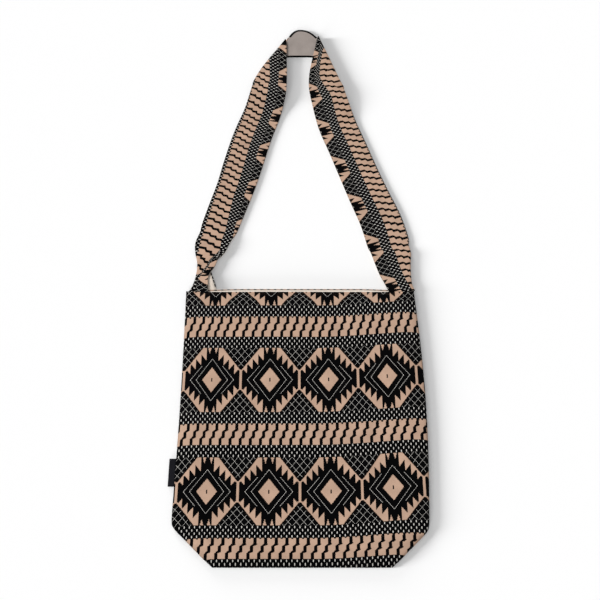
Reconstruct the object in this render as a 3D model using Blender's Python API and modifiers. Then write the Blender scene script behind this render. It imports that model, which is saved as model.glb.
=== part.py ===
"""A one strap cloth carryall bag, lying flat on its back as it would come to rest.

The bag is a flat pouch of patterned jacquard with a plain cotton lining. Two panels meet in a
seam along both sides and the bottom, and the mouth is open at the top. One long band, lined
with the same cotton, is folded round each side seam and runs over the shoulder. Lying down,
each end of the band opens out into a flat leg, and at the top it rolls under itself, so that
the highest stretch lies on the ground with its lining up.

Metres, +Z up, +Y towards the band. The origin is the middle of the back panel's lower face.
"""
import math

import bmesh
import bpy
import numpy as np

# Pouch
BODY_WIDTH = 0.352
BODY_HEIGHT = 0.443
LEFT_CUT = 0.058
RIGHT_CUT = 0.052
FRONT_DIP = 0.0065
BACK_RISE = 0.0050
SIDE_BULGE = 0.007
SIDE_TUCK = 0.002
ROOM_INSIDE = 0.0054
EDGE_ROUND = 0.032

# Cloth
JACQUARD = 0.0012
LINING = 0.0006
CLEAR = 0.0003
LINING_INSET = 0.006
LINING_SLACK = 0.0045
RELIEF = 0.0004

# Woven repeat
REPEAT_WIDTH = 0.0865
FIGURE_HEIGHT = 0.104
STRIPE_HEIGHT = 0.0336
DOTS_HEIGHT = 0.0192
FIGURE_MIDDLE = 0.066
COLUMNS_PER_REPEAT = 8
FIGURE_ROWS = 6

# Band
BAND_WIDTH = 0.066
BAND_RISE = 0.542
ROLL_RADIUS = 0.0026
ROLL_SHARE = 0.2
FOLD_RADIUS = 0.0011
BAND_RIM = 0.004
BAND_STRIPE = 0.0335
LEG_INSET = 0.026
CROSSING = 0.051
STRIPED_RISEN = 0.66
STRIPED_BEND = 1.3
FIGURED_BEND = 1.75
LEG_ROWS = 16
END_ROWS = 11
BACK_SHARE = 0.06
FOLD_SHARE = 0.13

# Label
LABEL_LENGTH = 0.042
LABEL_REACH = 0.0095
LABEL_CLOTH = 0.0004
LABEL_BEND = 0.0006
LABEL_MIDDLE = -0.084

# Each leg's middle line: share of the rise, share of the way from the side to the crossing,
# width in band widths
LEFT_ROUTE = [(0.2196, 0.194, 0.90), (0.2801, 0.284, 0.93), (0.3819, 0.440, 0.96),
              (0.4668, 0.545, 1.00), (0.5835, 0.692, 1.00), (0.6896, 0.863, 0.98),
              (0.7744, 0.965, 0.94)]
RIGHT_ROUTE = [(0.1644, 0.078, 1.04), (0.2546, 0.191, 1.04), (0.3448, 0.360, 1.02),
               (0.4456, 0.540, 1.00), (0.5411, 0.702, 1.00), (0.6418, 0.879, 1.00),
               (0.7638, 1.035, 0.93)]

# Each crease where a leg rolls under: its middle as shares of the crossing and of the rise,
# its length in band widths, its lean in degrees, its bow in band widths, and how far the leg
# carries on in its own direction before it bends to the crease
LEFT_CREASE = (1.070, 0.9076, 1.848, 63.0, 0.06, 0.3)
RIGHT_CREASE = (1.0784, 0.9041, 2.026, 71.5, 0.0, 1.0)

# Each folded end, all in band widths: height over the mouth, inset of the fold, part in
# front, part behind
LEFT_END = [(0.00, 0.060, 0.43, 0.62), (0.20, 0.165, 0.31, 0.47), (0.456, 0.217, 0.26, 0.34),
            (0.70, 0.233, 0.40, 0.24), (0.90, 0.214, 0.45, 0.20), (1.05, 0.170, 0.66, 0.14),
            (1.41, 0.123, 0.83, 0.07)]
RIGHT_END = [(0.00, -0.020, 0.58, 0.36), (0.18, 0.033, 0.614, 0.32), (0.364, 0.047, 0.685, 0.28),
             (0.626, 0.045, 0.77, 0.20), (0.89, 0.030, 0.86, 0.13), (1.12, 0.000, 0.95, 0.08)]

COLOURS = {
    "black_yarn": ((0.012, 0.011, 0.011), 0.9),
    "beige_yarn": ((0.60, 0.42, 0.29), 0.85),
    "lining_cotton": ((0.62, 0.55, 0.47), 0.95),
    "label_ribbon": ((0.01, 0.01, 0.01), 0.7),
}

HALF_WIDTH = BODY_WIDTH / 2
BOTTOM = -BODY_HEIGHT / 2
MOUTH = BODY_HEIGHT / 2
SEAM_LEVEL = JACQUARD + CLEAR
LIFT = 2 * (LINING + CLEAR) + ROOM_INSIDE
COLUMN = REPEAT_WIDTH / COLUMNS_PER_REPEAT
REPEAT_HEIGHT = FIGURE_HEIGHT + STRIPE_HEIGHT + 2 * DOTS_HEIGHT


def clear_scene():
    for item in list(bpy.data.objects):
        bpy.data.objects.remove(item, do_unlink=True)


def make_collection(name):
    collection = bpy.data.collections.new(name)
    bpy.context.scene.collection.children.link(collection)
    return collection


def make_material(name):
    colour, roughness = COLOURS[name]
    material = bpy.data.materials.new(name)
    material.use_nodes = True
    shader = material.node_tree.nodes["Principled BSDF"]
    shader.inputs["Base Color"].default_value = (*colour, 1.0)
    shader.inputs["Roughness"].default_value = roughness
    shader.inputs["Metallic"].default_value = 0.0
    return material


def add_object(name, mesh, collection, material_names):
    item = bpy.data.objects.new(name, mesh)
    collection.objects.link(item)
    for material_name in material_names:
        found = bpy.data.materials.get(material_name)
        mesh.materials.append(found or make_material(material_name))
    return item


def thicken(item, thickness, offset):
    wall = item.modifiers.new("cloth", "SOLIDIFY")
    wall.thickness = thickness
    wall.offset = offset
    wall.use_even_offset = False
    return wall


def smoothstep(value):
    value = np.clip(value, 0.0, 1.0)
    return value * value * (3.0 - 2.0 * value)


def round_over(distance):
    """Height share of a panel that rises from its seam as a quarter of an ellipse."""
    reach = np.clip(distance / EDGE_ROUND, 0.0, 1.0)
    return np.sqrt(1.0 - (1.0 - reach) ** 2)


def seam_distance(x, y):
    """Distance from a point of the pouch to the nearest sewn edge; the mouth isn't one."""
    side = HALF_WIDTH - np.abs(x)
    bottom = y - BOTTOM
    cut = np.where(x < 0, LEFT_CUT, RIGHT_CUT)
    corner = (side + bottom - cut) / math.sqrt(2.0)
    return np.minimum(np.minimum(side, bottom), corner)


def front_mouth(x):
    """The front edge of the mouth dips where the panel rises over what is inside."""
    return MOUTH - FRONT_DIP * round_over(HALF_WIDTH - np.abs(x))


def back_mouth(x):
    """The back edge of the mouth stands higher than the front one between the sides."""
    return MOUTH + BACK_RISE * smoothstep((HALF_WIDTH - np.abs(x)) / (HALF_WIDTH / 2))


def bulge(x, y):
    """Between the mouth and the lower corners the right side swells and the left draws in."""
    up = np.clip((y - BOTTOM - RIGHT_CUT) / (MOUTH - BOTTOM - RIGHT_CUT), 0.0, 1.0)
    swell = SIDE_BULGE * smoothstep(x / HALF_WIDTH) + SIDE_TUCK * smoothstep(-x / HALF_WIDTH)
    return x + swell * np.sin(math.pi * up)


def relief(x, y):
    """The striped courses and the figures stand a little higher than the dots between."""
    up = ((y - FIGURE_MIDDLE) / REPEAT_HEIGHT + 0.5) % 1.0 - 0.5
    from_figure = FIGURE_HEIGHT / 2 - abs(up) * REPEAT_HEIGHT
    from_stripe = STRIPE_HEIGHT / 2 - (0.5 - abs(up)) * REPEAT_HEIGHT
    inside = max(from_figure, from_stripe)
    flat = smoothstep(seam_distance(x, y) / EDGE_ROUND)
    return RELIEF * flat * smoothstep(inside / (STRIPE_HEIGHT / 2))


def woven_columns():
    count = int(HALF_WIDTH / COLUMN)
    inner = [i * COLUMN for i in range(-count, count + 1)]
    return [-HALF_WIDTH] + [x for x in inner if abs(x) < HALF_WIDTH - COLUMN / 4] + [HALF_WIDTH]


def woven_rows():
    """Rows that start and end with the woven stripes, dots and figures."""
    rows = {BOTTOM, MOUTH}
    for repeat in range(-3, 4):
        middle = FIGURE_MIDDLE + repeat * REPEAT_HEIGHT
        figure = [middle - FIGURE_HEIGHT / 2 + i * FIGURE_HEIGHT / FIGURE_ROWS
                  for i in range(FIGURE_ROWS + 1)]
        stripe = [middle - REPEAT_HEIGHT / 2 + i * STRIPE_HEIGHT / 2 for i in (-1, 0, 1)]
        for y in figure + stripe:
            if BOTTOM + COLUMN / 3 < y < MOUTH - COLUMN / 3:
                rows.add(y)
    return sorted(rows)


def thin_out(values, kept_at_ends, step):
    """All lines near both ends and every few lines between them."""
    last = len(values) - 1
    return [v for i, v in enumerate(values)
            if i <= kept_at_ends or i >= last - kept_at_ends or i % step == 0]


def is_beige(x, y):
    """Whether the beige yarn shows at a place of the repeat, as fields of plain colour."""
    across = (x / REPEAT_WIDTH - 0.5) % 1.0 - 0.5
    up = ((y - FIGURE_MIDDLE) / REPEAT_HEIGHT + 0.5) % 1.0 - 0.5
    from_stripe = (0.5 - abs(up)) * REPEAT_HEIGHT
    if from_stripe < STRIPE_HEIGHT / 2:
        return int(math.floor(x / COLUMN)) % 2 == (0 if up > 0 else 1)
    if abs(up) * REPEAT_HEIGHT > FIGURE_HEIGHT / 2:
        return False
    side = 0.5 - abs(across)
    height = abs(up) * REPEAT_HEIGHT / FIGURE_HEIGHT
    centre = side / 0.19 + height / 0.24 < 1.0
    hexagon = side < 0.5 - 0.28 * max(0.0, (height - 0.17) / 0.33)
    medallion = side / 0.46 + height / 0.46 < 1.0
    return centre or (hexagon and not medallion)


def grid_mesh(name, columns, rows, inset=0.0):
    """A sheet from a primitive grid, its lines moved to the given columns and rows.

    Both lower corners are cut off along the seam, or inset from it.
    """
    sheet = bmesh.new()
    bmesh.ops.create_grid(sheet, x_segments=len(columns) - 1, y_segments=len(rows) - 1, size=1.0)
    for vertex in sheet.verts:
        column = round((vertex.co.x + 1.0) / 2.0 * (len(columns) - 1))
        row = round((vertex.co.y + 1.0) / 2.0 * (len(rows) - 1))
        vertex.co = (columns[column], rows[row], 0.0)
    for side, cut in ((-1, LEFT_CUT), (1, RIGHT_CUT)):
        corner = (side * (HALF_WIDTH - cut - inset * math.sqrt(2.0)), BOTTOM, 0.0)
        everything = sheet.verts[:] + sheet.edges[:] + sheet.faces[:]
        bmesh.ops.bisect_plane(sheet, geom=everything, dist=1e-6, plane_co=corner,
                               plane_no=(side, -1.0, 0.0), clear_outer=True)
    bmesh.ops.remove_doubles(sheet, verts=sheet.verts, dist=0.0008)
    mesh = bpy.data.meshes.new(name)
    sheet.to_mesh(mesh)
    sheet.free()
    return mesh


def colour_woven(mesh):
    for face in mesh.polygons:
        face.material_index = int(is_beige(face.center.x, face.center.y))


def move_points(mesh, place):
    for vertex in mesh.vertices:
        vertex.co = place(vertex.co.x, vertex.co.y)


def stretch_to_mouth(y, mouth):
    """Rows near the mouth follow its line; the rest stay where they are woven."""
    near = smoothstep((y - (MOUTH - FIGURE_HEIGHT / 4)) / (FIGURE_HEIGHT / 4))
    return y + near * (mouth - MOUTH)


def build_front_panel(collection):
    mesh = grid_mesh("front_panel", woven_columns(), woven_rows())
    colour_woven(mesh)
    move_points(mesh, lambda x, y: (
        bulge(x, y), stretch_to_mouth(y, front_mouth(x)),
        SEAM_LEVEL + LIFT * round_over(seam_distance(x, y)) + relief(x, y)))
    item = add_object("front_panel", mesh, collection, ("black_yarn", "beige_yarn"))
    thicken(item, JACQUARD, 1.0)


def build_back_panel(collection):
    mesh = grid_mesh("back_panel", woven_columns(), woven_rows())
    colour_woven(mesh)
    move_points(mesh, lambda x, y: (bulge(x, y), stretch_to_mouth(y, back_mouth(x)), 0.0))
    item = add_object("back_panel", mesh, collection, ("black_yarn", "beige_yarn"))
    thicken(item, JACQUARD, 1.0)


def lining_mesh(name):
    """The lining has the panels' lines near the seams, where they curve, and few between."""
    shrink_x = (HALF_WIDTH - LINING_INSET) / HALF_WIDTH
    shrink_y = (BOTTOM + LINING_INSET) / BOTTOM
    columns = [x * shrink_x for x in thin_out(woven_columns(), 4, 6)]
    rows = [y * shrink_y if y < 0 else y for y in thin_out(woven_rows(), 4, 6)]
    return grid_mesh(name, columns, rows, LINING_INSET)


def build_linings(collection):
    back = lining_mesh("lining_back")
    move_points(back, lambda x, y: (
        bulge(x, y), stretch_to_mouth(y, back_mouth(x)) - 2 * CLEAR, JACQUARD + CLEAR))
    item = add_object("lining_back", back, collection, ("lining_cotton",))
    thicken(item, LINING, 1.0)
    front = lining_mesh("lining_front")
    drop = CLEAR + LINING
    move_points(front, lambda x, y: (
        bulge(x, y), stretch_to_mouth(y, front_mouth(x)) - 2 * CLEAR,
        SEAM_LEVEL + LIFT * round_over(seam_distance(x, y) - LINING_SLACK) - drop))
    item = add_object("lining_front", front, collection, ("lining_cotton",))
    thicken(item, LINING, 1.0)


def curve_through(points, count):
    """Points of a smooth curve through the given ones, from a Catmull and Rom blend."""
    points = np.asarray(points, float)
    padded = np.vstack([2 * points[0] - points[1], points, 2 * points[-1] - points[-2]])
    spans = len(points) - 1
    places = np.linspace(0.0, spans, count)
    span = np.minimum(places.astype(int), spans - 1)
    t = (places - span)[:, None]
    a, b, c, d = (padded[span + i] for i in range(4))
    return 0.5 * (2 * b + (c - a) * t + (2 * a - 5 * b + 4 * c - d) * t ** 2
                  + (3 * b - a - 3 * c + d) * t ** 3)


def across_shares():
    """Places across the band, from its striped edge to its figured edge."""
    back = np.linspace(0.0, BACK_SHARE, 2)
    fold = np.linspace(BACK_SHARE, FOLD_SHARE, 4)
    front = np.linspace(FOLD_SHARE, 1.0, 8)
    return np.concatenate([back, fold[1:], front[1:]])


def folded_row(height, inset, front, behind, side, turn):
    """One line of points across the band where it is folded round the side seam.

    From the striped edge it runs outwards behind, turns over in a half circle and runs back in
    front. The front part rises with the front panel's rounded edge.
    """
    shares = across_shares()
    radius = FOLD_RADIUS
    out = np.empty(len(shares))
    z = np.empty(len(shares))
    low = JACQUARD + CLEAR / 2
    on_back = shares <= BACK_SHARE + 1e-9
    on_fold = (shares > BACK_SHARE) & (shares < FOLD_SHARE - 1e-9)
    on_front = shares >= FOLD_SHARE - 1e-9
    out[on_back] = radius + behind * (1.0 - shares[on_back] / BACK_SHARE)
    z[on_back] = low
    angle = math.pi * (shares[on_fold] - BACK_SHARE) / (FOLD_SHARE - BACK_SHARE)
    out[on_fold] = radius - radius * np.sin(angle)
    z[on_fold] = low + radius - radius * np.cos(angle)
    away = front * (shares[on_front] - FOLD_SHARE) / (1.0 - FOLD_SHARE)
    out[on_front] = radius + away
    z[on_front] = low + 2 * radius + turn * LIFT * round_over(away)
    x = side * (HALF_WIDTH - inset - out)
    return np.stack([x, MOUTH + height + 0 * x, z], axis=1)


def end_rows(ends, side):
    """The rows of a folded end, from the mouth up."""
    table = curve_through(ends, END_ROWS) * BAND_WIDTH
    rows = []
    for height, inset, front, behind in table:
        turn = 1.0 - smoothstep(height / table[-1][0])
        rows.append(folded_row(height, inset, front, behind, side, turn))
    base = rows[0]
    behind = across_shares() <= BACK_SHARE
    mouth = np.where(behind, back_mouth(base[:, 0]), front_mouth(base[:, 0]))
    base[:, 1] = mouth + 2 * CLEAR
    return rows


def leg_rows(route, side):
    """The rows of a flat leg, square to its middle line, from the fold up to the crossing."""
    start = HALF_WIDTH - LEG_INSET
    line = [(side * (start + (CROSSING - start) * inwards), MOUTH + BAND_RISE * up,
             BAND_WIDTH * width) for up, inwards, width in route]
    line = curve_through(line, LEG_ROWS)
    middle = line[:, :2]
    along = np.gradient(middle, axis=0)
    along /= np.linalg.norm(along, axis=1)[:, None]
    outwards = np.stack([along[:, 1], -along[:, 0]], axis=1) * side
    shares = across_shares()
    level = LINING + CLEAR / 2
    rows = []
    for i in range(LEG_ROWS):
        near_top = smoothstep((i / (LEG_ROWS - 1) - 0.8) / 0.2)
        offset = line[i, 2] * (0.5 - shares)
        plan = middle[i] + offset[:, None] * outwards[i]
        z = level + near_top * (2 * ROLL_RADIUS + JACQUARD + CLEAR / 2 - level)
        rows.append(np.column_stack([plan, np.full(len(shares), z)]))
    return rows


def bridge_rows(before, last, crease_row, carry):
    """Two level rows from a leg to its crease.

    The figured edge leaves the leg in the leg's own direction, the striped one heads straight
    for the crease, and every line between them does some of both.
    """
    way = crease_row - last
    leaving = last - before
    leaving[:, 2] = 0.0
    leaving *= (np.linalg.norm(way, axis=1) / np.linalg.norm(leaving, axis=1))[:, None]
    turn = carry * across_shares()[:, None] * (leaving - way)
    return [last + share * way + share * (1 - share) ** 2 * turn for share in (1 / 3, 2 / 3)]


def top_rows(crease, side):
    """From the crossing the band rolls under along a slanting crease.

    The roll is round at the figured edge and flattens towards the striped one.
    """
    inwards, up, length, lean, bow = crease[:5]
    shares = across_shares()
    lean = math.radians(lean)
    along = np.array([-side * math.cos(lean), math.sin(lean)])
    outwards = np.array([side * math.sin(lean), math.cos(lean)])
    middle = np.array([side * CROSSING * inwards, MOUTH + BAND_RISE * up])
    low = JACQUARD + CLEAR / 2
    line = middle + ((shares - 0.5) * length * BAND_WIDTH)[:, None] * along
    line = line + (bow * BAND_WIDTH * 6.75 * shares * (1.0 - shares) ** 2)[:, None] * outwards
    depth = ROLL_RADIUS * smoothstep(shares / ROLL_SHARE)
    rows = []
    for angle in np.linspace(0.0, math.pi, 6):
        plan = line + ((math.sin(angle) - 1.0) * depth)[:, None] * outwards
        z = low + ROLL_RADIUS * (1.0 + math.cos(angle))
        rows.append(np.column_stack([plan, np.full(len(shares), z)]))
    return rows


def middle_row():
    """The line across the band at the top, striped edge below and figured edge above."""
    y = MOUTH + BAND_RISE + BAND_WIDTH * (across_shares() - 0.5)
    return np.column_stack([0 * y, y, np.full(len(y), JACQUARD + CLEAR / 2)])


def low_rows(first, last):
    """From the roll to the middle the band lies on the ground.

    Each row moves sideways evenly. The striped edge has risen before the middle and then runs
    level, and the figured edge arches.
    """
    shares = across_shares()
    risen = STRIPED_RISEN + (1.0 - STRIPED_RISEN) * shares
    power = STRIPED_BEND + (FIGURED_BEND - STRIPED_BEND) * shares
    rows = []
    for share in (0.25, 0.5, 0.75):
        row = first + share * (last - first)
        early = 1.0 - np.maximum(1.0 - share / risen, 0.0) ** power
        row[:, 1] = first[:, 1] + early * (last[:, 1] - first[:, 1])
        rows.append(row)
    return rows


def band_surface():
    """All rows of the band's middle surface, from the left end over the top to the right end."""
    sides = []
    for side, route, crease, ends in ((-1, LEFT_ROUTE, LEFT_CREASE, LEFT_END),
                                      (1, RIGHT_ROUTE, RIGHT_CREASE, RIGHT_END)):
        leg = leg_rows(route, side)
        roll = top_rows(crease, side)
        bridge = bridge_rows(leg[-2], leg[-1], roll[0], crease[5])
        rows = end_rows(ends, side) + leg + bridge + roll
        sides.append(rows + low_rows(rows[-1], middle_row()))
    return np.array(sides[0] + [middle_row()] + sides[1][::-1])


def band_mesh(name, surface):
    """Two triangles a cell, with the same diagonal in the face and in its lining."""
    count, wide = surface.shape[:2]
    faces = []
    for i in range(count - 1):
        for j in range(wide - 1):
            a, b, c, d = i * wide + j, i * wide + j + 1, (i + 1) * wide + j + 1, (i + 1) * wide + j
            faces += [(a, b, c), (a, c, d)]
    mesh = bpy.data.meshes.new(name)
    mesh.from_pydata(surface.reshape(-1, 3).tolist(), [], faces)
    return mesh


def surface_normals(surface):
    """Unit normals of a grid of points, from its differences both ways."""
    along = np.gradient(surface, axis=0)
    across = np.gradient(surface, axis=1)
    normal = np.cross(across, along)
    return normal / np.linalg.norm(normal, axis=2)[:, :, None]


def colour_band(mesh, cells):
    """The striped part of the band alternates, and its figured edge shows every other block."""
    shares = across_shares()
    middles = (shares[:-1] + shares[1:]) / 2 * BAND_WIDTH
    for index, face in enumerate(mesh.polygons):
        row, cell = divmod(index // 2, cells)
        striped = BAND_RIM < middles[cell] < BAND_RIM + BAND_STRIPE
        figured = cell == cells - 1
        face.material_index = int((striped and row % 2 == 0) or (figured and row % 4 < 2))


def build_band(collection):
    surface = band_surface()
    normal = surface_normals(surface)
    face = band_mesh("strap_face", surface + normal * (CLEAR / 2))
    colour_band(face, surface.shape[1] - 1)
    item = add_object("strap_face", face, collection, ("black_yarn", "beige_yarn"))
    thicken(item, JACQUARD, 1.0)
    inside = band_mesh("strap_lining", surface - normal * (CLEAR / 2))
    item = add_object("strap_lining", inside, collection, ("lining_cotton",))
    thicken(item, LINING, -1.0)


def build_label(collection):
    """A folded ribbon whose two ends are held at the left side seam."""
    start = -HALF_WIDTH - JACQUARD / 2 - CLEAR
    tip = -HALF_WIDTH - LABEL_REACH + LABEL_BEND
    level = JACQUARD + CLEAR
    profile = [(start, level - LABEL_BEND), (tip, level - LABEL_BEND)]
    for i in range(1, 6):
        angle = math.pi * i / 6
        profile.append((tip - LABEL_BEND * math.sin(angle), level - LABEL_BEND * math.cos(angle)))
    profile += [(tip, level + LABEL_BEND), (start, level + LABEL_BEND)]
    low = LABEL_MIDDLE - LABEL_LENGTH / 2
    points = [(x + bulge(-HALF_WIDTH, y) + HALF_WIDTH, y, z)
              for x, z in profile for y in (low, low + LABEL_LENGTH)]
    faces = [(2 * i, 2 * i + 1, 2 * i + 3, 2 * i + 2) for i in range(len(profile) - 1)]
    mesh = bpy.data.meshes.new("side_label")
    mesh.from_pydata(points, [], faces)
    item = add_object("side_label", mesh, collection, ("label_ribbon",))
    thicken(item, LABEL_CLOTH, 0.0)


def main():
    clear_scene()
    bag = make_collection("carryall_bag")
    build_front_panel(bag)
    build_back_panel(bag)
    build_linings(bag)
    build_band(bag)
    build_label(bag)


if __name__ == "__main__":
    main()
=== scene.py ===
"""The looks of a one strap cloth carryall bag that lies flat on its back.

Every piece is a sheet of cloth worked out as a grid of points with numpy, around the solids of
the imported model. The woven figure is a shader node group that reads each sheet's own cloth
coordinates, so the weave follows every fold.
"""
import math

import bpy
import numpy as np
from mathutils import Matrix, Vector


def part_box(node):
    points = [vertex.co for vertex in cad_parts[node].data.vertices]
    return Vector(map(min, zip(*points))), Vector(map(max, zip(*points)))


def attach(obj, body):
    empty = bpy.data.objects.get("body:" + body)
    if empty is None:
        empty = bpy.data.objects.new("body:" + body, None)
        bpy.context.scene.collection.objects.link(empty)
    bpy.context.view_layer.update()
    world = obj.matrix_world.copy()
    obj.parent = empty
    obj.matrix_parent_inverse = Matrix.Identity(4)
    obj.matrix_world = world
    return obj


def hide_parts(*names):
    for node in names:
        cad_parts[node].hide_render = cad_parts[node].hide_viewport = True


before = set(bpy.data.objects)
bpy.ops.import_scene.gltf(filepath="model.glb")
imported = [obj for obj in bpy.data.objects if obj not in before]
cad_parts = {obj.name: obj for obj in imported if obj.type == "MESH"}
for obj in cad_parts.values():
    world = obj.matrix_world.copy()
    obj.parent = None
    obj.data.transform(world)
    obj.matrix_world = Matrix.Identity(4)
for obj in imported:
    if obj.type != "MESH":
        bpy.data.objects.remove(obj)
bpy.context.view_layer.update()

bl_info = {
    "name": "Cloth Carryall Bag",
    "version": (1, 0, 0),
    "blender": (4, 5, 0),
    "location": "View3D > Sidebar > Carryall",
    "description": "Builds the cloth, lining, band, label and stitches of a carryall bag",
    "category": "Object",
}

BACK_LOW, BACK_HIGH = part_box("back_panel")
HALF_WIDTH = -BACK_LOW[0]
BOTTOM = BACK_LOW[1]
BAND_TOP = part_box("strap_face")[1][1]

# Pouch, as the solids have it; only the mouth's back edge rises 2 mm less
LEFT_CUT = 0.058
RIGHT_CUT = 0.052
FRONT_DIP = 0.0065
BACK_RISE = 0.0030
SIDE_BULGE = 0.007
SIDE_TUCK = 0.002
ROOM_INSIDE = 0.0054
EDGE_ROUND = 0.032
JACQUARD = 0.0012
LINING = 0.0006
CLEAR = 0.0003
LINING_INSET = 0.006
LINING_SLACK = 0.0045
MOUTH = -BOTTOM
SEAM_LEVEL = JACQUARD + CLEAR
LIFT = 2 * (LINING + CLEAR) + ROOM_INSIDE

# How the pouch's cloth eases into its corners, its mouth and its seams. A wave is its turn in
# radians per metre across and up, its shift, and its share of the height.
CORNER_SOFT = 0.004
MOUTH_REACH = 0.026
WAVES_FROM_SEAM = 0.05
WAVES = ((23.0, 11.0, 0.7, 1.0), (-17.0, 29.0, 2.1, 1.0), (41.0, -19.0, 0.0, 0.6),
         (13.0, 53.0, 4.0, 0.5))
PUCKER_LENGTHS = (0.013, 0.0081)
PUCKER_REACH = 0.007

# Band, close to the solids: its top lies 1.5 mm lower and its figured edge rises sooner
BAND_WIDTH = 0.066
BAND_RISE = 0.542
ROLL_RADIUS = 0.0026
ROLL_SHARE = 0.2
FOLD_RADIUS = 0.0011
LEG_INSET = 0.026
CROSSING = 0.051
STRIPED_RISEN = 0.66
STRIPED_BEND = 1.3
FIGURED_BEND = 2.3
TOP_DROP = 0.0015
BACK_SHARE = 0.06
FOLD_SHARE = 0.13

# A leg's points: rise in shares of BAND_RISE, share of the way in to CROSSING, and width in band
# widths. A crease: its middle in shares of CROSSING and BAND_RISE, its length in band widths,
# lean in degrees, bow, and how much of the leg's direction is carried on to it. A folded end's
# points: height, inset, and reach in front and behind, all in band widths.
LEFT_ROUTE = [(0.2196, 0.194, 0.90), (0.2801, 0.284, 0.93), (0.3819, 0.440, 0.96),
              (0.4668, 0.545, 1.00), (0.5835, 0.692, 1.00), (0.6896, 0.863, 0.98),
              (0.7744, 0.965, 0.94)]
RIGHT_ROUTE = [(0.1644, 0.078, 1.04), (0.2546, 0.191, 1.04), (0.3448, 0.360, 1.02),
               (0.4456, 0.540, 1.00), (0.5411, 0.702, 1.00), (0.6418, 0.879, 1.00),
               (0.7638, 1.035, 0.93)]
LEFT_CREASE = (1.070, 0.9076, 1.848, 63.0, 0.06, 0.3)
RIGHT_CREASE = (1.0784, 0.9041, 2.026, 71.5, 0.0, 1.0)
LEFT_END = [(0.00, 0.060, 0.43, 0.62), (0.20, 0.165, 0.31, 0.47), (0.456, 0.217, 0.26, 0.34),
            (0.70, 0.233, 0.40, 0.24), (0.90, 0.214, 0.45, 0.20), (1.05, 0.170, 0.66, 0.14),
            (1.41, 0.123, 0.83, 0.07)]
RIGHT_END = [(0.00, -0.020, 0.58, 0.36), (0.18, 0.033, 0.614, 0.32), (0.364, 0.047, 0.685, 0.28),
             (0.626, 0.045, 0.77, 0.20), (0.89, 0.030, 0.86, 0.13), (1.12, 0.000, 0.95, 0.08)]

# Rows of the band's grid, from the mouth to the top, and how its ends follow the pouch
END_ROWS = 40
INTO_ROWS = 9
LEG_ROWS = 120
OVER_ROWS = 30
ROLL_ROWS = 18
LOW_ROWS = 30
SMOOTHING = 12
END_LIFT = 0.6
END_TO_MOUTH = 0.02
LEG_LIFTS = 0.8

# Woven figure, in millimetres of cloth. Across, figures repeat side by side; up, each row of
# figures is followed by rows of dots, a stripe of stepped blocks and rows of dots again. A pair
# is a size across and one up.
REPEAT = 86.5
PERIOD = 176.0
FIGURE_HALF = 52.3
DOTS_END = 71.2
WEFT_STEP = 0.9
WARP_STEP = 0.75
DIAMOND = (14.7, 20.3)
DASH = (0.9, 2.9)
INNER_LINE = (24.2, 34.3)
OUTER_LINE = (33.2, 43.2)
OUTER_LINE_END = 22.6
LINE_HALF = 0.29
LINE_STITCH = 2.3
LINE_SHOWS = 0.72
HEXAGON_HALF = 41.8
UPRIGHT_HALF = 16.6
SIDE_SLOPE = 0.735
TEETH_START = 9.6
TEETH_LOW = 9.0
TOOTH = 8.07
TOOTH_TIP = 31.2
TOOTH_FALL = 7.1
TOOTH_LEAN = 1.25
EDGE_STRIP = (2.5, 15.0)
BAR = (1.7, 16.5)
TRIANGLE = (5.0, 42.9)
TRIANGLE_SPREAD = 2.5 / 9.4
LATTICE = (10.8, 13.3)
LATTICE_CROSS = 40.0
LATTICE_HALF = 0.021
LATTICE_CLEAR = 2.4
LATTICE_LOW = 14.0
DOT = (0.70, 1.9)
DOT_ROW = (DOTS_END - FIGURE_HALF) / 4
DOT_PITCH = REPEAT / 12
STRIPE_HALF = PERIOD / 2 - DOTS_END
STRIPE_BLOCK = REPEAT / 6
RIB_PITCH = 1.1

# Stepped blocks, in shares of a stripe's height or of one block
STEP_STARTS = (0.27, 0.60)
STEP_RISE = 0.13
STEP_SHIFTS = (0.29, 0.31)
EVEN_SHIFT = 0.05
BLOCK_GAP = 0.31
GAP_GROWTH = 0.6
NOTCH = (0.62, 0.09)
NOTCH_DEPTH = 2.0

# Where the figure's first row lies on the pouch, and how the cloth is eased along it: it climbs
# by SIDE_RISE over RISE_SPAN, and the left and the bottom seam draw it round
FIGURE_ROW = 0.0603
EASE = 0.9795
EASE_GROWTH = -0.1941
SIDE_RISE = 0.0102
RISE_SPAN = (0.02, 0.20)
LOW_SPAN = (-0.028, -0.094)
LOW_EASE = 0.003
LOW_EASE_SPAN = (-0.2215, -0.1815)
SEAM_SPAN = (-0.105, -0.180)
SEAM_DRAW = 0.0032
LOW_SEAM_DRAW = 0.0015
UPPER_SHIFT = 0.001

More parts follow.
